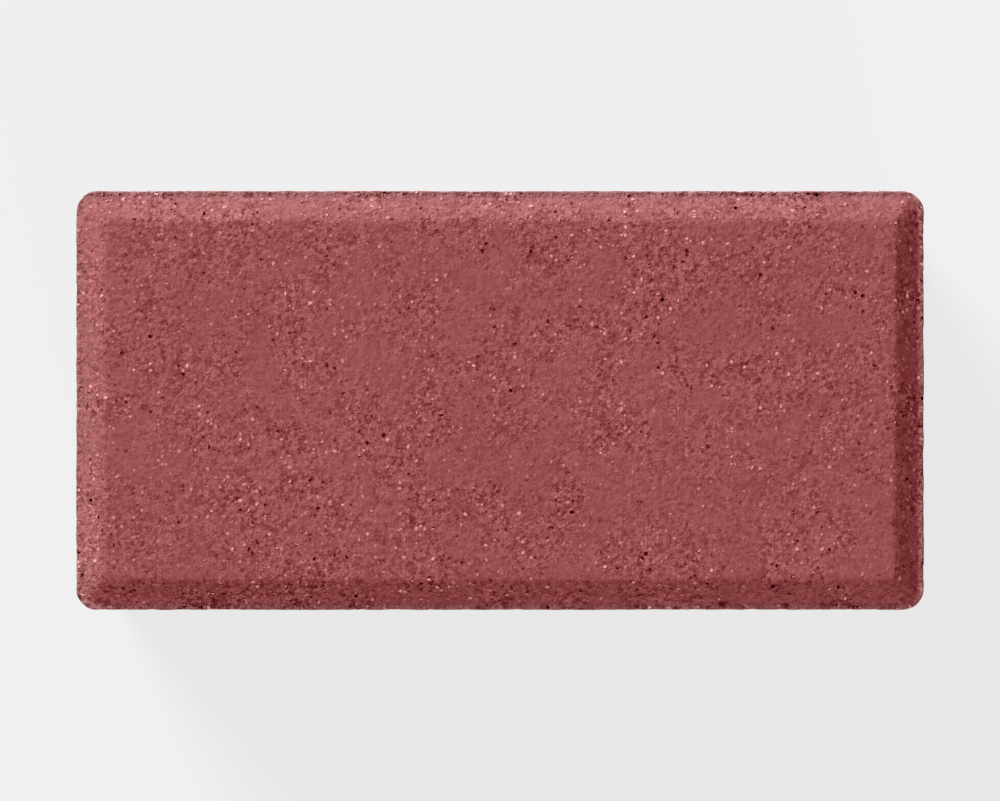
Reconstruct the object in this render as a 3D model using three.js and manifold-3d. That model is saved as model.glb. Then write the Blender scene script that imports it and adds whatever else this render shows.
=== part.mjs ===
// Concrete paving stone, 200 x 100 x 60 mm laying size: one dry-cast block with
// a chamfered wearing face, a narrow lip at the foot of the chamfer and spacer
// nibs down its sides. Millimetres, +Z up, origin at the centre of the bed face.
import * as THREE from 'three';
import Module from 'manifold-3d';

// Laying size: the block and its share of the joint on every side.
const moduleLength = 200;
const moduleWidth = 100;
const thickness = 60;
const joint = 2; // sand joint between two neighbours, held open by their nibs

// Wearing face, from the side of the block inwards.
const arrisRadius = 0.6; // worn edge between the side and the lip
const lipWidth = 1.5; // level ledge that the mould shoe leaves round the chamfer
const chamferWidth = 5.6;
const chamferDepth = 4;
const faceRounding = 0.7; // how far the soft break at the face reaches each way

// Upright corners, seen from above.
const sideCornerRadius = 5;
const faceCornerRadius = 1.8; // at the edge of the wearing face

// Facets.
const cornerSegments = 10; // round each upright corner
const edgeDivisions = 3; // along the soft break at the face, twice that round the arris
const arcSegmentsPerDivision = 2; // getPoints cuts an arc twice as fine as other curves

// Bed face.
const bedArris = 0.7; // small break that keeps the bottom edge from spalling

// Spacer nibs. They run down to the bed, because the mould strips upwards.
const nibPitch = 50;
const nibCrestWidth = 6;
const nibFlankWidth = 1.6; // each flank, from the crest down to the side
const nibHeadroom = 22; // plain side between the top of a nib and the face
const nibRunout = 4; // height of the slope at the top of a nib
const nibRoot = 2; // how far a nib's solid reaches into the block

const bodyLength = moduleLength - joint;
const bodyWidth = moduleWidth - joint;
const nibProjection = joint / 2;
const lipHeight = thickness - chamferDepth;
const faceInset = lipWidth + chamferWidth;

// Radius of an upright corner at a given inset from the side: concentric with
// the corner of the block, but never sharper than the corner of the face.
function cornerRadiusAt(inset) {
  return Math.max(sideCornerRadius - inset, faceCornerRadius);
}

// Plan of the block at a given inset: a rectangle with rounded corners, made of
// four quarter arcs, which the path joins by straight sides.
function planAt(inset) {
  const r = cornerRadiusAt(inset);
  const x = bodyLength / 2 - inset - r;
  const y = bodyWidth / 2 - inset - r;
  const plan = new THREE.Shape();
  plan.absarc(x, y, r, 0, Math.PI / 2);
  plan.absarc(-x, y, r, Math.PI / 2, Math.PI);
  plan.absarc(-x, -y, r, Math.PI, 1.5 * Math.PI);
  plan.absarc(x, -y, r, 1.5 * Math.PI, 2 * Math.PI);
  return plan.getPoints(cornerSegments / arcSegmentsPerDivision);
}

// Half section of the block, from the bed face up the side and over the
// chamfer. x is the inset from the side, y is the height above the bed.
function sideProfile() {
  const slope = new THREE.Vector2(chamferWidth, chamferDepth).setLength(faceRounding);
  const profile = new THREE.Path();
  profile.moveTo(bedArris, 0);
  profile.lineTo(0, bedArris);
  profile.lineTo(0, lipHeight - arrisRadius);
  profile.absarc(arrisRadius, lipHeight - arrisRadius, arrisRadius, Math.PI, Math.PI / 2, true);
  profile.lineTo(lipWidth, lipHeight);
  profile.lineTo(faceInset - slope.x, thickness - slope.y);
  profile.quadraticCurveTo(faceInset, thickness, faceInset + faceRounding, thickness);
  return profile.getPoints(edgeDivisions);
}

// Closed solid through a stack of plans that all have the same number of
// points, listed from the bottom up and each anticlockwise seen from above.
function loft(levels) {
  const around = levels[0].plan.length;
  const positions = levels.flatMap(({ plan, z }) => plan.flatMap((p) => [p.x, p.y, z]));
  const triangles = [];
  for (let level = 0; level < levels.length - 1; level += 1) {
    for (let i = 0; i < around; i += 1) {
      const a = level * around + i;
      const b = level * around + ((i + 1) % around);
      triangles.push(a, b, b + around, a, b + around, a + around);
    }
  }
  const topStart = (levels.length - 1) * around;
  for (const [i, j, k] of THREE.ShapeUtils.triangulateShape(levels[0].plan, [])) {
    triangles.push(k, j, i);
  }
  for (const [i, j, k] of THREE.ShapeUtils.triangulateShape(levels.at(-1).plan, [])) {
    triangles.push(topStart + i, topStart + j, topStart + k);
  }
  const geometry = new THREE.BufferGeometry();
  geometry.setAttribute('position', new THREE.Float32BufferAttribute(positions, 3));
  geometry.setIndex(triangles);
  return geometry;
}

function blockGeometry() {
  return loft(sideProfile().map(({ x: inset, y: z }) => ({ plan: planAt(inset), z })));
}

// One nib on the side that faces +Y, standing off the plane y = 0: a rib with
// a flat crest and sloping flanks, whose top runs out into the side.
function nibGeometry() {
  const planWith = (projection) => {
    const crest = nibCrestWidth / 2;
    const flank = nibFlankWidth * (1 + nibRoot / nibProjection);
    const lost = nibFlankWidth * (1 - projection / nibProjection);
    return [
      new THREE.Vector2(-crest - flank, -nibRoot),
      new THREE.Vector2(crest + flank, -nibRoot),
      new THREE.Vector2(crest + lost, projection),
      new THREE.Vector2(-crest - lost, projection),
    ];
  };
  const top = thickness - nibHeadroom;
  const buried = -nibRoot / 2;
  const runoutToBuried = (nibRunout * (nibProjection - buried)) / nibProjection;
  return loft([
    { plan: planWith(nibProjection - bedArris), z: 0 },
    { plan: planWith(nibProjection), z: bedArris },
    { plan: planWith(nibProjection), z: top - nibRunout },
    { plan: planWith(buried), z: top - nibRunout + runoutToBuried },
  ]);
}

// Nib places along a side: at the nib pitch about its middle, as many as fit
// between the rounded corners, so that the nibs of bonded neighbours line up.
function nibPlaces(side) {
  const nibFoot = nibCrestWidth + 2 * nibFlankWidth;
  const clear = side - 2 * sideCornerRadius - nibFoot;
  const count = Math.floor(clear / nibPitch) + 1;
  return Array.from({ length: count }, (_, i) => (i - (count - 1) / 2) * nibPitch);
}

// Every nib of the block, turned to its side and moved out to it.
function nibGeometries() {
  const nibs = [];
  const sides = [
    { turn: 0, length: bodyLength, offset: bodyWidth / 2 },
    { turn: Math.PI / 2, length: bodyWidth, offset: bodyLength / 2 },
    { turn: Math.PI, length: bodyLength, offset: bodyWidth / 2 },
    { turn: 1.5 * Math.PI, length: bodyWidth, offset: bodyLength / 2 },
  ];
  for (const { turn, length, offset } of sides) {
    for (const place of nibPlaces(length)) {
      nibs.push(nibGeometry().translate(place, offset, 0).rotateZ(turn));
    }
  }
  return nibs;
}

const wasm = await Module();
wasm.setup();

// A loft shares its vertices already, so its arrays go over as they are.
function toSolid(geometry) {
  const vertProperties = geometry.attributes.position.array;
  const triVerts = new Uint32Array(geometry.index.array);
  return new wasm.Manifold(new wasm.Mesh({ numProp: 3, vertProperties, triVerts }));
}

function toGeometry(solid) {
  const { vertProperties, triVerts } = solid.getMesh();
  const geometry = new THREE.BufferGeometry();
  geometry.setAttribute('position', new THREE.BufferAttribute(vertProperties, 3));
  geometry.setIndex(new THREE.BufferAttribute(triVerts, 1));
  geometry.computeVertexNormals();
  return geometry;
}

// The block and its nibs are cast together, so they are one solid.
function pavingStoneGeometry() {
  const block = toSolid(blockGeometry());
  return toGeometry(nibGeometries().reduce((solid, nib) => solid.add(toSolid(nib)), block));
}

const redConcrete = new THREE.MeshStandardMaterial({
  color: 0x985052,
  roughness: 0.95,
  metalness: 0,
  flatShading: true,
});

const pavingStone = new THREE.Mesh(pavingStoneGeometry(), redConcrete);
pavingStone.name = 'paving_stone';

const model = new THREE.Group();
model.add(pavingStone);

export default model;
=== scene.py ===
# %% [markdown]
# # A red concrete paving stone
# The stone is pressed from earth-dry red concrete in a steel mould and lifted out
# at once. It comes out as one block: a level wearing face, a chamfer all round it,
# a narrow lip at the chamfer's foot, and small spacer nibs down the sides.
#
# This lesson builds it in Blender round a CAD model that already holds the sizes.
# The CAD model is loaded first and read for its box. The stone itself is then made
# as one fine mesh, worked out with numpy, because the look of concrete is in its
# surface: pits, sand, crumbled edges and the drag marks of the mould.

# %% The frame
import itertools
import math

import bpy
import numpy as np
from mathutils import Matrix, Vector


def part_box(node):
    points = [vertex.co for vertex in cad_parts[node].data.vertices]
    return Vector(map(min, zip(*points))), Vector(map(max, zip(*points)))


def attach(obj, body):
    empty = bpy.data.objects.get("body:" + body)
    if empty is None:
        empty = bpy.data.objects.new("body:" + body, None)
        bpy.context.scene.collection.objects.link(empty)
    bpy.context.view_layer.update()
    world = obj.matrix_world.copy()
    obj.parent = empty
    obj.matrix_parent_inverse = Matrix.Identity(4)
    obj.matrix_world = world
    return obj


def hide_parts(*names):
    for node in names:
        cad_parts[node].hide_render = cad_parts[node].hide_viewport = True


MM = 0.001  # a millimetre in metres, which Blender counts in

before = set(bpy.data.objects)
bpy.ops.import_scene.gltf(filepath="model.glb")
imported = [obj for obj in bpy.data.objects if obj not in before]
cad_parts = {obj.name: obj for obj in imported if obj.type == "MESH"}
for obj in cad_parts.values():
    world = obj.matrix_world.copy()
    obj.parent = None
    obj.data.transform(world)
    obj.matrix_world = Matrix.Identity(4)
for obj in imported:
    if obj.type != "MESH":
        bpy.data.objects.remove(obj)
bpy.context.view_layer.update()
lowest, highest = (np.array(corner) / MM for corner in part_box("paving_stone"))
length, width, thickness = highest - lowest
print(f"laying size {length:.1f} x {width:.1f} x {thickness:.1f} mm")

# %% [markdown]
# ## The camera
# The stone is seen straight from above, as it lies in a path. A long lens from most
# of a metre up keeps the perspective weak, so the chamfers show at nearly their true
# width. The camera needs no turning: a new one in Blender looks down, with +Y up in
# its picture.

# %% Camera
CAMERA_HEIGHT = 900  # mm above the bed face
VIEW_WIDTH = 232  # mm of the wearing face's plane, across the picture

camera_data = bpy.data.cameras.new("overhead_camera")
camera_data.lens = camera_data.sensor_width * (CAMERA_HEIGHT - thickness) / VIEW_WIDTH
camera = bpy.data.objects.new("overhead_camera", camera_data)
camera.location = (0, 0, CAMERA_HEIGHT * MM)
bpy.context.scene.collection.objects.link(camera)
bpy.context.scene.camera = camera
print(f"lens {camera_data.lens:.0f} mm")

# %% [markdown]
# ## Studio light
# A low lamp rakes over the stone from the upper left. It makes the two chamfers on
# that side bright, leaves the other two dark and draws every grain of sand. A weaker
# lamp from the front opens the near chamfer.
#
# Sun lamps would be simpler, but their shadows are hard. A square area lamp gives
# the soft edge that a studio flash with a diffuser has. Both lamps stand 8 m off, so
# that their light falls evenly on the stone and on the floor round it.

# %% Lamps
def place_lamp(name, azimuth, elevation, distance, size, power):
    """A square area lamp that faces the stone. Azimuth runs anticlockwise from +X and
    elevation up from the floor, in degrees; distance and size are in metres."""
    data = bpy.data.lights.new(name, "AREA")
    data.size = size
    data.energy = power
    lamp = bpy.data.objects.new(name, data)
    around, up = math.radians(azimuth), math.radians(elevation)
    flat = distance * math.cos(up)
    lamp.location = (flat * math.cos(around), flat * math.sin(around), distance * math.sin(up))
    lamp.rotation_euler = (math.pi / 2 - up, 0, around + math.pi / 2)
    bpy.context.scene.collection.objects.link(lamp)
    return lamp


lamps = [
    place_lamp("key_lamp", azimuth=124, elevation=28, distance=8, size=2.5, power=845),
    place_lamp("front_lamp", azimuth=284, elevation=15, distance=8, size=3, power=340),
]
print("lamps:", ", ".join(f"{lamp.name} {lamp.data.energy:.0f} W" for lamp in lamps))

# %% [markdown]
# ## Writing nodes as sums
# Both the world and the materials are built of nodes, and a tree of nodes is quicker
# to read as a formula. A Wire holds an output socket, and adding, subtracting or
# multiplying wires and numbers puts in the Math node. Every other node comes from one
# method, which sets the node up and then fills its sockets.

# %% Wires
class Wire:
    """An output socket that can stand in a sum."""

    def __init__(self, maker, socket):
        self.maker = maker
        self.socket = socket

    def output(self, name):
        """Another output of the same node."""
        return Wire(self.maker, self.socket.node.outputs[name])

    def __add__(self, other):
        return self.maker.maths("ADD", self, other)

    def __sub__(self, other):
        return self.maker.maths("SUBTRACT", self, other)

    def __rsub__(self, other):
        return self.maker.maths("SUBTRACT", other, self)

    def __mul__(self, other):
        return self.maker.maths("MULTIPLY", self, other)

    __radd__ = __add__
    __rmul__ = __mul__


class Maker:
    """Builds the nodes of its owner, which is a world or a material."""

    def __init__(self, owner):
        owner.use_nodes = True
        self.owner = owner
        self.tree = owner.node_tree
        self.tree.nodes.clear()

    def node(self, kind, settings=None, sockets=None, out=0):
        """Adds a node, sets its settings, then gives its sockets numbers or wires.
        Sockets are named or, where names repeat, numbered. Returns output `out`, if the
        node has outputs."""
        made = self.tree.nodes.new(kind)
        for setting, value in (settings or {}).items():
            setattr(made, setting, value)
        for socket, value in (sockets or {}).items():
            if isinstance(value, Wire):
                self.tree.links.new(value.socket, made.inputs[socket])
            else:
                made.inputs[socket].default_value = value
        return Wire(self, made.outputs[out]) if made.outputs else None

    def maths(self, operation, a, b):
        """A Math node on two values, each of them a wire or a number."""
        return self.node("ShaderNodeMath", {"operation": operation}, {0: a, 1: b})


print("ready to write nodes as sums")

# %% [markdown]
# ## Light tent
# Light from all round fills the shadows. In a studio it comes from a tent of white
# cloth. In Blender the world can do that: its brightness follows the height of each
# direction, here from bright walls to a nearly dark top. A bright top would light
# the level face most and make the chamfers look flat.

# %% Light tent
WALL_LIGHT = 0.80
TOP_LIGHT = 0.02
WALL_ENDS, TOP_STARTS = 0.03, 0.3  # how high a direction of length 1 points
WHITE = (1, 1, 1, 1)

tent = Maker(bpy.data.worlds.new("light_tent"))
direction = tent.node("ShaderNodeTexCoord", out="Generated")
height = tent.node("ShaderNodeSeparateXYZ", None, {0: direction}, "Z")
tent_light = tent.node(
    "ShaderNodeMapRange",
    {"interpolation_type": "SMOOTHSTEP"},
    {
        "Value": height,
        "From Min": WALL_ENDS,
        "From Max": TOP_STARTS,
        "To Min": WALL_LIGHT,
        "To Max": TOP_LIGHT,
    },
)
cloth = tent.node("ShaderNodeBackground", None, {"Color": WHITE, "Strength": tent_light})
tent.node("ShaderNodeOutputWorld", None, {"Surface": cloth})
bpy.context.scene.world = tent.owner
print(f"light tent: walls {WALL_LIGHT}, top {TOP_LIGHT}")

# %% [markdown]
# ## A light table for a floor
# So low a lamp throws a long shadow. On a light table the floor shines by itself, so
# the shadow stays faint and the stone stands clear on a pale ground, as it would in a
# catalogue.

# %% Floor
FLOOR_HALF = 1.5  # metres from the middle to an edge
FLOOR_SHADE = 0.15  # share of the lamps' light that it gives back
FLOOR_GLOW = 0.69  # its own light

floor_mesh = bpy.data.meshes.new("light_table")
corners = [(-1, -1, 0), (1, -1, 0), (1, 1, 0), (-1, 1, 0)]
floor_mesh.from_pydata((np.array(corners) * FLOOR_HALF).tolist(), [], [(0, 1, 2, 3)])
floor = bpy.data.objects.new("light_table", floor_mesh)
bpy.context.scene.collection.objects.link(floor)

glass = Maker(bpy.data.materials.new("frosted_glass"))
glass_shader = glass.node(
    "ShaderNodeBsdfPrincipled",
    None,
    {
        "Base Color": (FLOOR_SHADE, FLOOR_SHADE, FLOOR_SHADE, 1),
        "Roughness": 0.9,
        "Specular IOR Level": 0,
        "Emission Color": WHITE,
        "Emission Strength": FLOOR_GLOW,
    },
)
glass.node("ShaderNodeOutputMaterial", None, {"Surface": glass_shader})
floor_mesh.materials.append(glass.owner)
print(f"floor {2 * FLOOR_HALF:.0f} m square")

# %% [markdown]
# ## The film
# On film, shadows lose light faster than they should, so a shaded red gets deeper
# and richer, and highlights roll off softly. Blender can do the same: the view's
# curves change every brightness before the picture is stored. The curve here has a
# toe, x to the power 1 + a over x to the power a plus b to the power a, and a light
# shoulder, y (1 + c) / (1 + c y).

# %% Film curve
TOE_STRENGTH = 2.23  # a
TOE_REACH = 0.05  # b
SHOULDER = 0.6  # c
CURVE_POINTS = 14


def film(x):
    """Brightness on the film for scene brightness x, both from 0 to 1."""
    toe = x ** (1 + TOE_STRENGTH) / (x**TOE_STRENGTH + TOE_REACH**TOE_STRENGTH)
    return toe * (1 + SHOULDER) / (1 + SHOULDER * toe)


view = bpy.context.scene.view_settings
view.view_transform = "Standard"
view.use_curve_mapping = True
film_curve = view.curve_mapping.curves[3]  # the one that acts on all three colours
film_curve.points[-1].location = (1, float(film(1.0)))
# Squares of even steps lie closest in the shadows, where the curve bends most.
for x in np.linspace(0, 1, CURVE_POINTS)[1:-1] ** 2:
    film_curve.points.new(float(x), float(film(x)))
view.curve_mapping.update()
print("film curve at 5, 20 and 50 %:", np.round(film(np.array([0.05, 0.2, 0.5])), 3))

# %% [markdown]
# ## Sizes
# The block is smaller than its laying size by the joint, because its nibs keep the
# joint open. The rest follows the mould: the shoe that presses the wearing face has
# a chamfered rim, and leaves a narrow lip where it meets the mould's wall.

# %% Sizes, in millimetres
JOINT = 2
LIP_WIDTH = 1.5
CHAMFER_WIDTH = 5.6
CHAMFER_DEPTH = 4
BED_ARRIS = 0.7
SIDE_CORNER_RADIUS = 5
LIP_CORNER_RADIUS = 3.5  # at the foot of the chamfer
FACE_CORNER_RADIUS = 1.8

half_length = (length - JOINT) / 2
half_width = (width - JOINT) / 2
lip_height = thickness - CHAMFER_DEPTH
face_inset = LIP_WIDTH + CHAMFER_WIDTH
print(f"block {2 * half_length:.0f} x {2 * half_width:.0f} mm, lip at {lip_height:.0f} mm")

# %% [markdown]
# ## The section, with its corners eased
# Cut across, the stone is a few straight lines: face, chamfer, lip, side and bed.
# Pressed concrete has no sharp corner, so each one has to be eased. A Bevel modifier
# could do it, but it would cut the same width everywhere. Here each point is the
# average of the sharp line over a short reach on either side of it, which rounds the
# corners, leaves the straights alone, and can be wider at one corner than another.

# %% Section
RIM = 2.4  # level face between the chamfer and the face's middle grid
SPARE = 2  # line past both ends, so that the average has something to read

grid_inset = face_inset + RIM
section = np.array(
    [
        (grid_inset + SPARE, thickness),
        (face_inset, thickness),
        (LIP_WIDTH, lip_height),
        (0, lip_height),
        (0, BED_ARRIS),
        (BED_ARRIS, 0),
        (grid_inset + SPARE, 0),
    ]
)
line_lengths = np.hypot(*np.diff(section, axis=0).T)
marks = np.concatenate([[0], np.cumsum(line_lengths)])
face_edge, chamfer_foot, arris, bed_edge, bed_start, section_end = marks[1:]


def eased(line, at, reach):
    """The line's average from `at` less `reach` to `at` plus `reach`, measured along it.
    Between two corners the running total of a straight line is a parabola, so the
    average is exact: the total at one end less the total at the other, over the span."""
    totals = np.cumsum((line[1:] + line[:-1]) / 2 * line_lengths[:, None], axis=0)
    totals = np.vstack([np.zeros(2), totals])
    slopes = np.diff(line, axis=0) / line_lengths[:, None]

    def total(s):
        piece = np.clip(np.searchsorted(marks, s, "right") - 1, 0, len(slopes) - 1)
        along = (s - marks[piece])[:, None]
        return totals[piece] + line[piece] * along + slopes[piece] * along**2 / 2

    return (total(at + reach) - total(at - reach)) / (2 * reach)[:, None]


print("section marks:", np.round(marks, 2), "mm")

# %% [markdown]
# ## Stations
# A station is a distance along the section. The rings of the mesh sit at chosen
# stations: close together where the section bends, wider apart on the straights.
# Each corner also gets its own reach here, which changes evenly from one corner to
# the next. The chamfer's foot is the sharpest, the break at the face is wider, and
# the arris is worn most.

# %% Stations
def stations(*stretches):
    """Stations along the section. Each stretch is (start, end, count) and leaves out
    its end, which is the next one's start."""
    return np.concatenate([np.linspace(a, b, n, endpoint=False) for a, b, n in stretches])


ring_at = stations(
    (SPARE, face_edge - 0.8, 2),  # level face
    (face_edge - 0.8, face_edge + 0.8, 8),  # break at the face
    (face_edge + 0.8, chamfer_foot - 0.5, 8),  # chamfer
    (chamfer_foot - 0.5, chamfer_foot + 0.5, 4),  # foot of the chamfer
    (chamfer_foot + 0.5, arris - 0.8, 1),  # lip
    (arris - 0.8, arris + 0.8, 8),  # arris
    (arris + 0.8, bed_edge - 0.3, 36),  # side
    (bed_edge - 0.3, bed_start + 0.8, 4),  # edge of the bed
)
corner_reach = {face_edge: 0.55, chamfer_foot: 0.25, arris: 0.7, bed_edge: 0.4}
ring_reach = np.interp(ring_at, list(corner_reach), list(corner_reach.values()))
ring_inset, ring_height = eased(section, ring_at, ring_reach).T
print(f"{len(ring_at)} rings round the stone")

# %% [markdown]
# ## The plan of a ring
# Seen from above each ring is a rectangle with round corners. The corner radius
# shrinks from 5 mm at the side to almost nothing at the level grid of the face. The
# rings between make the mitres, where two chamfers meet round a corner.

# %% Rings in plan
CELLS_LONG = 288  # mesh cells along a long side, 0.7 mm each
CELLS_SHORT = 128
SHARP = 1e-6  # corner radius where the rings meet the grid, not 0 because it divides
ring_slots = 2 * (CELLS_LONG + CELLS_SHORT)


def side_of_ring(half_side, half_across, radius, cells):
    """One side of a rounded rectangle, from the middle of one corner to the middle of
    the next: an eighth of a circle, a straight and an eighth of a circle, cut in equal
    lengths. Returns the place along the side and the distance out from the centre."""
    eighth = radius * math.pi / 4
    straight = 2 * (half_side - radius)
    s = np.arange(cells) / cells * (2 * eighth + straight)
    turn = np.clip((s - eighth) / radius, -math.pi / 4, 0)
    turn = turn + np.clip((s - eighth - straight) / radius, 0, math.pi / 4)
    along = np.clip(s - eighth, 0, straight) - straight / 2 + radius * np.sin(turn)
    out = half_across - radius + radius * np.cos(turn)
    return along, out


def ring_sides(inset):
    """(along, out) of the four sides of each ring, anticlockwise from the front. The
    corner radius changes evenly between those of side, lip, face edge and grid."""
    radius = np.interp(
        inset,
        [0, LIP_WIDTH, face_inset, grid_inset],
        [SIDE_CORNER_RADIUS, LIP_CORNER_RADIUS, FACE_CORNER_RADIUS, SHARP],
    )[:, None]
    across, deep = half_length - inset[:, None], half_width - inset[:, None]
    long_side = side_of_ring(across, deep, radius, CELLS_LONG)
    short_side = side_of_ring(deep, across, radius, CELLS_SHORT)
    return [long_side, short_side, long_side, short_side]


def ring_points(sides, z):
    """Joins four sides into rings of points, each side turned to face its own way: the
    four numbers of a side say how x and then y follow the place along and out."""
    facing = [(1, 0, 0, -1), (0, 1, 1, 0), (-1, 0, 0, 1), (0, -1, -1, 0)]
    x = np.hstack([a * along + b * out for (a, b, _, _), (along, out) in zip(facing, sides)])
    y = np.hstack([c * along + d * out for (_, _, c, d), (along, out) in zip(facing, sides)])
    return np.stack([x, y, np.broadcast_to(z[:, None], x.shape)], axis=-1)


print(f"{ring_slots} points in a ring")

# %% [markdown]
# ## Spacer nibs
# Each nib is a low rib that holds the next stone one joint away. It runs from the
# bed to a little over half height and fades into the side there, so that it never
# shows in a finished path. Nibs sit on a 50 mm pitch, so those of neighbours in a
# running bond meet. They could be blocks joined to the stone by a Boolean modifier,
# but in a mesh of rings a nib is only a bulge, added to the distance out.

# %% Nibs
NIB_PITCH = 50
NIB_CREST = 6
NIB_FLANK = 1.6  # width of the slope on each side of the crest
NIB_HEADROOM = 22  # plain side above a nib
NIB_RUNOUT = 4  # height of the slope at the top of a nib
nib_projection = JOINT / 2


def smooth(x):
    """Goes from 0 to 1 as x does, and leaves both ends level: 3x² - 2x³."""
    x = np.clip(x, 0, 1)
    return x * x * (3 - 2 * x)


def nib_bulge(along, half_side, z):
    """How far the side stands out: full on the crest, falling to nothing over the
    flanks and over the run-out at the top."""
    room = 2 * (half_side - SIDE_CORNER_RADIUS) - NIB_CREST - 2 * NIB_FLANK
    count = int(room // NIB_PITCH) + 1
    places = (np.arange(count) - (count - 1) / 2) * NIB_PITCH
    away = np.abs(along[..., None] - places).min(axis=-1)
    crest = smooth((NIB_CREST / 2 + NIB_FLANK - away) / NIB_FLANK)
    top = smooth((thickness - NIB_HEADROOM - z) / NIB_RUNOUT)
    return nib_projection * crest * top


# Rings that aren't on a side take the height of the face, which no nib reaches.
below_arris = (ring_at > arris) & (ring_at < bed_start)
nib_height = np.where(below_arris, ring_height, thickness)[:, None]
plain_sides = ring_sides(ring_inset)
half_sides = [half_length, half_width, half_length, half_width]
bulges = [nib_bulge(along, half, nib_height) for (along, _), half in zip(plain_sides, half_sides)]
sides = [(along, out + bulge) for (along, out), bulge in zip(plain_sides, bulges)]
rings = ring_points(sides, ring_height)
print(f"widest ring {np.ptp(rings[..., 0]):.2f} x {np.ptp(rings[..., 1]):.2f} mm")

# %% [markdown]
# ## One closed mesh
# The rings cover everything between two level grids: one on the wearing face, as
# fine as the rings, and one on the bed, which is seldom seen and is coarser. Under
# the stone two bands of triangles each halve the number of points in a ring, so the
# mesh stays closed without wasting faces there. A Remesh modifier would also close
# it, but would spend as many faces on the bed as on the face.

# %% Grids and bands
BED_COARSER = 4  # times fewer points in the bed's rings


def fill_grid(first_index, border, cells_x, cells_y):
    """Indices of a grid whose rim is the ring `border` and whose inner points are
    numbered from first_index, row by row."""
    index = np.zeros((cells_y + 1, cells_x + 1), int)
    inner = (cells_y - 1, cells_x - 1)
    index[1:-1, 1:-1] = first_index + np.arange(inner[0] * inner[1]).reshape(inner)
    rim = np.append(border, border[0])
    starts = np.cumsum([0, cells_x, cells_y, cells_x])
    index[0, :] = rim[starts[0] : starts[0] + cells_x + 1]
    index[:, -1] = rim[starts[1] : starts[1] + cells_y + 1]
    index[-1, ::-1] = rim[starts[2] : starts[2] + cells_x + 1]
    index[::-1, 0] = rim[starts[3] : starts[3] + cells_y + 1]
    return index


def grid_points(cells_x, cells_y, z):
    """The inner points of a level grid over the middle of the stone, row by row."""
    x = np.linspace(-1, 1, cells_x + 1)[1:-1] * (half_length - grid_inset)
    y = np.linspace(-1, 1, cells_y + 1)[1:-1] * (half_width - grid_inset)
    x, y = np.meshgrid(x, y)
    return np.stack([x, y, np.full_like(x, z)], axis=-1).reshape(-1, 3)


def quads_between(rows):
    """Quads between each row of point indices and the next; they face outwards."""
    a, b = rows[:-1], rows[1:]
    return np.stack([a[:, :-1], b[:, :-1], b[:, 1:], a[:, 1:]], axis=-1).reshape(-1, 4)


def closed(rows):
    """The rows with their first point repeated at the end."""
    return np.hstack([rows, rows[:, :1]])


def halving_band(outer, inner):
    """Triangles from a ring to one with half as many points, three to each pair."""
    outer, inner = np.append(outer, outer[0]), np.append(inner, inner[0])
    a, b, c = outer[:-2:2], outer[1:-1:2], outer[2::2]
    d, e = inner[:-1], inner[1:]
    return np.concatenate([np.stack(t, axis=-1) for t in ((a, d, b), (b, e, c), (b, d, e))])


print(f"grids {CELLS_LONG} x {CELLS_SHORT} cells, {BED_COARSER} times coarser on the bed")

# %% [markdown]
# ## Points and faces
# All points go into one list: the rings, the inner points of the face's grid, the
# coarser rings under the stone and the inner points of the bed's grid. Each part
# keeps the indices of its points, so that faces can be named by index alone.

# %% Points and faces
BED_INSETS = [3.0, 5.6]  # places of the rings between the last fine one and the grid

ring_index = np.arange(rings[..., 0].size).reshape(len(rings), ring_slots)
parts = [rings.reshape(-1, 3)]
count = ring_index.size

face_grid = fill_grid(count, ring_index[0], CELLS_LONG, CELLS_SHORT)
parts.append(grid_points(CELLS_LONG, CELLS_SHORT, thickness))
count += len(parts[-1])

bed_rings = ring_points(ring_sides(np.array([*BED_INSETS, grid_inset])), np.zeros(3))
half_ring = bed_rings[0, ::2]
quarter_rings = bed_rings[1:, ::BED_COARSER]
half_index = count + np.arange(len(half_ring))
quarter_index = np.arange(quarter_rings[..., 0].size).reshape(len(quarter_rings), -1)
quarter_index = half_index[-1] + 1 + quarter_index
parts += [half_ring, quarter_rings.reshape(-1, 3)]
count = quarter_index[-1, -1] + 1

bed_cells = CELLS_LONG // BED_COARSER, CELLS_SHORT // BED_COARSER
bed_grid = fill_grid(count, quarter_index[-1], *bed_cells)
parts.append(grid_points(*bed_cells, 0))
points = np.concatenate(parts)

quads = np.concatenate(
    [
        quads_between(closed(ring_index)),
        quads_between(closed(quarter_index)),
        quads_between(face_grid[::-1]),
        quads_between(bed_grid),
    ]
)
triangles = np.concatenate(
    [
        halving_band(ring_index[-1], half_index),
        halving_band(half_index, quarter_index[0]),
    ]
)
print(f"{len(points)} points, {2 * len(quads) + len(triangles)} triangles")

# %% [markdown]
# ## Which way is out
# The relief moves each point along the surface's own direction. That direction is
# read from the smooth mesh: the cross product of each face's diagonals, added up at
# its corners and brought to length one.

# %% Directions
def outward(points, quads, triangles):
    """Unit normal at each point: the area-weighted sum of those of the faces round it."""
    normals = np.zeros_like(points)
    for faces, (a, b, c, d) in ((quads, (0, 2, 1, 3)), (triangles, (0, 1, 0, 2))):
        p = points[faces]
        across = np.cross(p[:, b] - p[:, a], p[:, d] - p[:, c])
        for corner in range(faces.shape[1]):
            np.add.at(normals, faces[:, corner], across)
    return normals / np.linalg.norm(normals, axis=1, keepdims=True)


directions = outward(points, quads, triangles)
volume_sum = 0.0
for faces in (quads[:, [0, 1, 2]], quads[:, [0, 2, 3]], triangles):
    p = points[faces]
    volume_sum += np.einsum("ij,ij->", p[:, 0], np.cross(p[:, 1], p[:, 2])) / 6
print(f"volume {volume_sum / 1000:.1f} cm³; above 0, so the faces point outwards")

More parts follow.
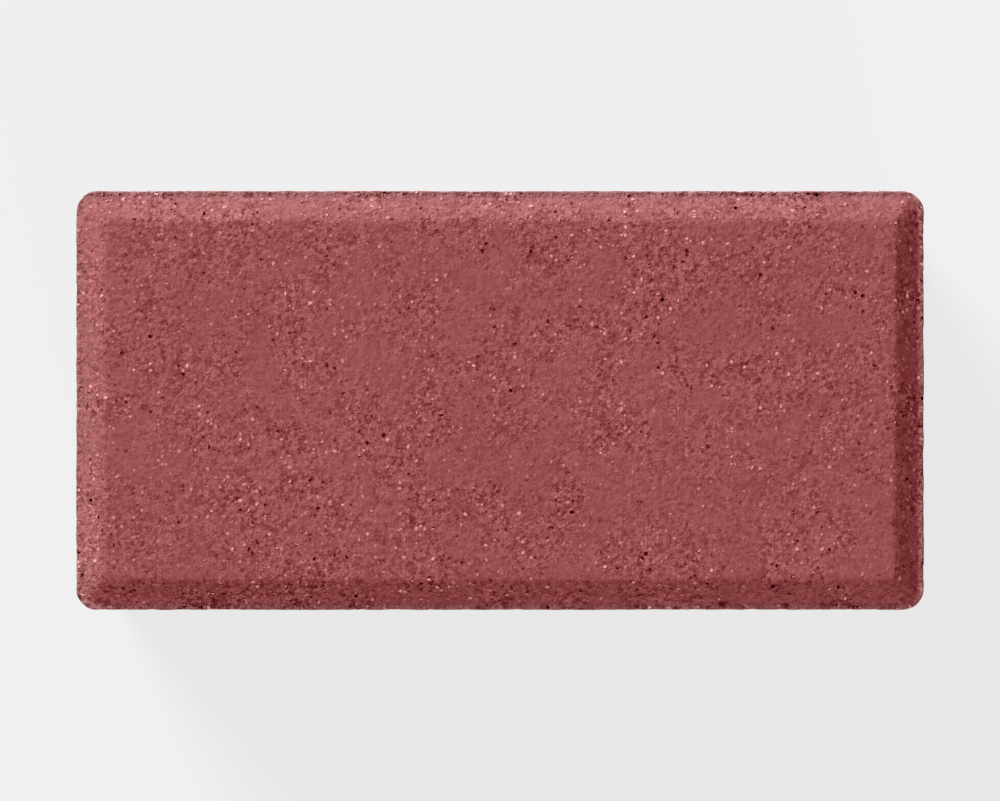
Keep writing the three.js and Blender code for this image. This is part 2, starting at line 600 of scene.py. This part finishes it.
# %% [markdown]
# ## Repeatable chance
# Concrete is random, but the stone has to come out the same every time. So chance is
# worked out from place: whole-number coordinates are multiplied by large odd numbers
# and stirred until nothing of their order is left. Smooth noise then blends the
# eight corners of the cube round each point.

# %% Noise
def chance(cells, seed):
    """A number from 0 to 1 for each whole-number (x, y, z), always the same one. The
    three are multiplied by large odd numbers and added, then shifted, xored and
    multiplied twice; overflow past 32 bits is meant."""
    odd = np.array([374761393, 668265263, 2246822519], np.uint32)
    h = (cells.astype(np.int64).astype(np.uint32) * odd).sum(axis=-1, dtype=np.uint32)
    h = h + np.uint32(seed * 3266489917 % 2**32)
    h = (h ^ (h >> np.uint32(15))) * np.uint32(2246822519)
    h = (h ^ (h >> np.uint32(13))) * np.uint32(3266489917)
    return (h ^ (h >> np.uint32(16))) / (2**32 - 1)


def noise(places, size, seed):
    """Smooth noise from 0 to 1 with `size` millimetres between its lattice points: the
    chances at the eight corners of the cell, blended by the smooth share of the way."""
    scaled = places / size
    cell = np.floor(scaled)
    share = smooth(scaled - cell)
    total = 0
    for corner in itertools.product((0, 1), repeat=3):
        weight = np.where(corner, share, 1 - share).prod(axis=-1)
        total = total + weight * chance(cell + corner, seed)
    return total


sample = noise(points[:10000], 1.3, seed=1)
print(f"noise from {sample.min():.2f} to {sample.max():.2f}, mean {sample.mean():.2f}")

# %% [markdown]
# ## Pits
# Air trapped against the mould leaves pits. Space is cut into cubes, and some cubes
# hold the centre of a pit, at a chance place and of a chance size. Where the surface
# cuts a pit off its centre the pit is small, so one rule gives all sizes.

# %% Pits
def pits(places, spacing, radii, share, seed):
    """Depth in the deepest pit at each place, from 0 to 1: one less the square of the
    distance from the pit's centre over its radius. Only the 27 cubes round a place can
    reach it, because no radius is over the spacing."""
    cell = np.floor(places / spacing)
    deepest = np.zeros(len(places))
    for step in itertools.product((-1, 0, 1), repeat=3):
        home = cell + step
        jitter = np.stack([chance(home, seed + axis) for axis in range(3)], axis=-1)
        radius = radii[0] + (radii[1] - radii[0]) * chance(home, seed + 3) ** 2
        distance = np.linalg.norm(places - (home + jitter) * spacing, axis=-1)
        depth = np.where(chance(home, seed + 4) < share, 1 - (distance / radius) ** 2, 0)
        deepest = np.maximum(deepest, depth)
    return deepest


sample = pits(points[:10000], spacing=6.5, radii=(0.5, 1.3), share=0.35, seed=1)
print(f"{np.mean(sample > 0):.1%} of a sample of points lie in a pit")

# %% [markdown]
# ## Zones
# The mould treats each zone in its own way. The shoe presses the face and chamfer
# close, the mould's wall drags on the sides as the stone leaves it, and the arris
# between them crumbles. Each point's zone follows from its station on the section.
# A zone is a number from 0 to 1 that changes over a millimetre or so, because a
# sudden change would show as a line. The roughness of the sides starts slowest, so
# that it doesn't fold the mesh where the section turns sharply.

# %% Zones
station = np.full(len(points), float(SPARE))
station[: ring_index.size] = np.repeat(ring_at, ring_slots)
station[half_index[0] :] = section_end


def near(mark, reach):
    """1 at a mark on the section, falling smoothly to 0 at `reach` millimetres."""
    return smooth(1 - np.abs(station - mark) / reach)


def between(start, end, rise, fall):
    """0 outside two stations and 1 inside them, after a smooth rise and before a smooth
    fall of so many millimetres."""
    return smooth((station - start) / rise) * smooth((end - station) / fall)


at_arris = near(arris, 1.6)
at_face_edge = near(face_edge, 1.2)
at_bed_edge = near(bed_edge, 2.5)
on_chamfer = between(face_edge - 0.3, chamfer_foot, rise=0.6, fall=0.6)
on_lip = between(chamfer_foot - 0.3, arris + 0.6, rise=0.6, fall=0.8)
on_side = between(arris, bed_start, rise=1.2, fall=1.2)
on_bed = smooth((station - bed_edge) / 1.5)
side_relief = between(arris, bed_edge + 0.3, rise=4, fall=3)
on_crest = np.zeros(len(points))
on_crest[: ring_index.size] = smooth(np.hstack(bulges).ravel() / nib_projection)
print(f"{np.mean(on_side > 0.5):.0%} of the points are on the sides")

# %% [markdown]
# ## Relief
# All relief goes inwards, so the stone never grows past its mould. The face is
# slightly wavy and has a fine tooth of sand, open in some patches and closed in
# others. The sides are rougher, with bumps, open pits and faint upright drag marks,
# and flat where the mould's wall pressed them. The arris loses crumbs and, here and
# there, a nick. In each term the number in front is a depth in millimetres, and a
# noise is given its grain in millimetres and its seed.
#
# A Displace modifier could do some of this from a texture. The sums below do it
# once for all points, and what they found, such as where the pits are, can then be
# used again for the colour.

# %% Relief, in millimetres of depth
SIDE_STRETCH = np.array([1, 1, 0.07])  # makes noise run upright
PRESSED_FLAT = 0.12  # how much of the sides' roughness the mould's wall presses flat

# The places with a little disorder, so that what is drawn there has ragged outlines.
shake = np.stack([noise(points, 1.1, seed) for seed in (1, 2, 3)], axis=-1)
ragged_points = points + 0.9 * (shake - 0.5)

patches = 0.7 * noise(points, 8, 27) + 0.3 * noise(points, 3.5, 28)
open_grain = smooth((patches - 0.2) / 0.6)

wave = 0.09 * noise(points, 34, 11) + 0.035 * noise(points, 13, 12)
tooth = 0.05 * noise(ragged_points, 1.3, 13) + 0.03 * noise(ragged_points, 0.61, 14)
tooth_strength = 0.6 + 0.8 * open_grain + 0.8 * on_chamfer + 2.6 * side_relief + 1.5 * on_bed

face_pits = pits(ragged_points, spacing=6.5, radii=(0.5, 1.3), share=0.35, seed=20)
side_pits = pits(ragged_points, spacing=4.2, radii=(0.6, 2.0), share=0.42, seed=30)
drag = 0.35 * noise(points * SIDE_STRETCH, 1.7, 15) * noise(points, 9, 16)
bumps = 0.30 * noise(ragged_points, 2.6, 25)

crumbs = noise(points, 1.15, 17) * noise(points, 3.1, 18)
nicks = pits(ragged_points, spacing=7.5, radii=(0.7, 2.2), share=0.30, seed=40)
edge_loss = at_arris * (0.5 * crumbs + 0.4 * nicks) + at_bed_edge * (0.5 * crumbs + 0.9 * nicks)
break_loss = at_face_edge * (0.08 * noise(points, 4, 19) + 0.10 * noise(ragged_points, 1.3, 26))

depth = wave + tooth * tooth_strength + edge_loss + break_loss
depth = depth + 0.3 * (1 - side_relief) * face_pits
depth = depth - depth.min()
side_depth = 0.85 * side_pits + drag + bumps - PRESSED_FLAT
depth = np.maximum(depth + side_relief * side_depth, 0)
print(f"relief up to {depth.max():.2f} mm deep, {np.median(depth):.2f} mm in the middle")

# %% [markdown]
# ## The piece
# The points move in by their depth, become metres and go into the mesh. The mesh
# also carries a few numbers for each point, which the material reads by name: how
# light the zone is, how coarse its sand, how much it is rubbed, whether the mould's
# wall made it, and how open its grain is. The insides of pits are darker, because
# little light gets into them.

# %% The piece
surface_points = (points - directions * depth[:, None]) * MM
surface_points[:, 2] = np.clip(surface_points[:, 2], 0, thickness * MM)

stone_mesh = bpy.data.meshes.new("cast_paving_stone")
stone_mesh.from_pydata(surface_points.tolist(), [], quads.tolist() + triangles.tolist())
stone_mesh.polygons.foreach_set("use_smooth", np.ones(len(stone_mesh.polygons), bool))
stone = bpy.data.objects.new("cast_paving_stone", stone_mesh)
bpy.context.scene.collection.objects.link(stone)


def paint(name, values):
    """Stores one number at each point of the stone, for its material to read."""
    stone_mesh.attributes.new(name, "FLOAT", "POINT").data.foreach_set(
        "value", values.astype(np.float32)
    )


# The foot of the chamfer and the lip are a few hundredths paler than the face, and so
# are the crests of the nibs: partly wear, partly a painted highlight that makes the
# nibs read. The top of the chamfer and the sides are as much darker.
climb = np.clip((chamfer_foot - station) / (chamfer_foot - face_edge), 0, 1)  # up the chamfer
crest_wear_and_highlight = on_crest * smooth(1.5 * noise(ragged_points, 4, 29))
lightness = 1 + on_chamfer * (0.03 - 0.07 * climb) + 0.05 * on_lip - 0.06 * on_side
lightness = lightness + 0.09 * crest_wear_and_highlight
paint("tone", lightness * (1 - 0.4 * np.where(on_side > 0.5, side_pits, face_pits)))
paint("coarse", np.clip(0.5 * on_chamfer + on_lip + 0.6 * on_side, 0, 1))
paint("rubbed", np.clip(0.1 * on_chamfer + on_lip + 0.3 * on_side + 0.2 * crest_wear_and_highlight, 0, 1))
paint("moulded", on_side)
paint("open_grain", open_grain)
stone_mesh.validate()
print(f"{stone.name}: {len(stone_mesh.polygons)} faces")

# %% [markdown]
# ## Patterns in millimetres
# The stone's own coordinates, counted in millimetres, drive every pattern, so a
# pattern's size can be given as the size of the real thing.

# %% Pattern helpers
concrete = Maker(bpy.data.materials.new("cast_red_concrete"))
ruler = concrete.node("ShaderNodeTexCoord", out="Object")
place = concrete.node(
    "ShaderNodeVectorMath", {"operation": "SCALE"}, {"Vector": ruler, "Scale": 1 / MM}
)


def clouds(size, detail=0.0, shift=0.0):
    """Perlin noise with `size` millimetres from knot to knot, from about -1 to 1."""
    moved = concrete.node(
        "ShaderNodeVectorMath", {"operation": "ADD"}, {0: place, 1: (shift, shift, shift)}
    )
    value = concrete.node(
        "ShaderNodeTexNoise",
        {"noise_dimensions": "3D"},
        {"Vector": moved, "Scale": 1 / size, "Detail": detail, "Roughness": 0.65},
    )
    return (value - 0.5) * 2


def step(value, low, high):
    """0 at `low` and 1 at `high`, smooth between and level beyond. `low` may be the
    larger of the two."""
    return concrete.node(
        "ShaderNodeMapRange",
        {"interpolation_type": "SMOOTHSTEP"},
        {"Value": value, "From Min": low, "From Max": high},
    )


def wobbled(size, reach):
    """The place, moved by up to `reach` millimetres by a noise of `size` millimetres,
    so that what is drawn there has a ragged outline."""
    wobble = concrete.node(
        "ShaderNodeTexNoise", None, {"Vector": place, "Scale": 1 / size, "Detail": 0}, "Color"
    )
    return concrete.node(
        "ShaderNodeVectorMath",
        {"operation": "MULTIPLY_ADD"},
        {0: wobble, 1: (2 * reach,) * 3, 2: place},
    )


def sand(where, spacing):
    """One layer of sand grains. Returns, as three wires, the grain's body, which is 1 in
    its middle and 0 at its rim, and two lots from 0 to 1 that are its own."""
    distance = concrete.node(
        "ShaderNodeTexVoronoi", None, {"Vector": where, "Scale": 1 / spacing}, "Distance"
    )
    lots = concrete.node("ShaderNodeSeparateXYZ", None, {0: distance.output("Color")})
    reach = 0.4 + 0.35 * lots.output("Y")
    return step(distance, reach, reach * 0.3), lots.output("X"), lots.output("Z")


def painted(name):
    """The number that the mesh carries under this name."""
    return concrete.node("ShaderNodeAttribute", {"attribute_name": name}, out="Fac")


tone, coarse, rubbed = painted("tone"), painted("coarse"), painted("rubbed")
moulded, sandy = painted("moulded"), painted("open_grain")
print(f"{len(concrete.tree.nodes)} nodes so far")

# %% [markdown]
# ## Red concrete
# Iron-oxide pigment colours the cement right through, and every grain of sand wears
# a skin of it. What varies is brightness more than colour: cloudy mottling a few
# centimetres wide, blotches of a few millimetres, and then the sand itself. Each
# grain draws a lot. The highest lots stand proud and are paler, which paints a
# highlight on their lit tops. The very highest have lost their skin and are bare,
# and paler still, which also paints their glints. The lowest have fallen out and
# left a hole, darkened with painted shade. The sides also have torn places, where
# the skin came off with the mould. The number before each term is its share of the
# brightness.

# %% Brightness and colour
PIGMENT = (0.3135, 0.1005, 0.103)
LAITANCE = (0.312, 0.23, 0.22)  # the greyer skin of fine cement on rubbed places

mottle = clouds(45, detail=1)
blotch = clouds(6, detail=1, shift=17)
grit = clouds(1.2, detail=3)
dust = clouds(0.6, detail=2, shift=31)

grain, lot, shade = sand(wobbled(0.5, 0.3), 0.95)
# Proud grains get a painted highlight, bare ones painted glints, and the holes of sunk grains
# painted shade; all three also shape the bump relief.
proud_grain_and_highlight = step(lot, 0.70, 0.95) * grain
bare_grain_and_glint = step(lot, 0.92 - 0.03 * coarse, 1.0) * grain
sunk_hole_and_shade = step(lot, 0.07 + 0.06 * moulded, 0.0) * grain
torn = (1 - step(clouds(3.4, detail=3, shift=71), -0.25, 0.1)) * moulded

# Sand of many shades with dust between. Then proud grains with a painted highlight, bare ones
# with painted glints, and painted shade in the sunk holes.
speckle = 0.42 * (shade - 0.5) + 0.45 * dust + 0.08 * grit
speckle = speckle + 0.50 * proud_grain_and_highlight + 1.3 * bare_grain_and_glint - 0.55 * sunk_hole_and_shade
brightness = 0.975 + 0.055 * mottle + 0.03 * blotch
brightness = brightness + (0.45 + 1.1 * sandy + 0.5 * coarse) * speckle
brightness = brightness * tone * (1 - 0.14 * torn)
# Bare grains also take a little of the grey skin, which makes their painted glint greyish.
# Of a Mix node, sockets 6 and 7 are the two colours and output 2 is their mixture.
skin = concrete.node(
    "ShaderNodeMix",
    {"data_type": "RGBA"},
    {"Factor": 0.2 * rubbed + 0.1 * bare_grain_and_glint, 6: (*PIGMENT, 1), 7: (*LAITANCE, 1)},
    2,
)
colour = concrete.node(
    "ShaderNodeVectorMath", {"operation": "SCALE"}, {"Vector": skin, "Scale": brightness}
)

print("pigment", PIGMENT, "and laitance", LAITANCE)

# %% [markdown]
# ## Fine relief
# The mesh carries relief down to about a millimetre. Single grains are finer, so a
# Bump node gives them their light and shade, and sinks the torn places of the sides
# by a hair. Its distance is a millimetre, so the heights below are in millimetres.
# Pits, bumps and crumbled edges are in the mesh. The shader is a plain rough one
# with hardly any gloss, because the little facets of dry concrete throw reflections
# every way.

# %% Roughness, relief and shader
relief = 0.23 * grit + 0.10 * proud_grain_and_highlight + 0.12 * bare_grain_and_glint - 0.22 * sunk_hole_and_shade - 0.25 * torn
roughening = 0.6 + 0.7 * sandy + coarse
normal = concrete.node("ShaderNodeBump", None, {"Height": relief * roughening, "Distance": MM})
shader = concrete.node(
    "ShaderNodeBsdfPrincipled",
    None,
    {
        "Base Color": colour,
        "Roughness": 0.82 + 0.12 * shade,
        "Specular IOR Level": 0.03,
        "Normal": normal,
    },
)
concrete.node("ShaderNodeOutputMaterial", None, {"Surface": shader})
stone_mesh.materials.append(concrete.owner)
print(f"{len(concrete.tree.nodes)} nodes in {concrete.owner.name}")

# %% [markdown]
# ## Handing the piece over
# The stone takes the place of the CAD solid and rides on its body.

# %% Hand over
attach(stone, "root")
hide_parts("paving_stone")
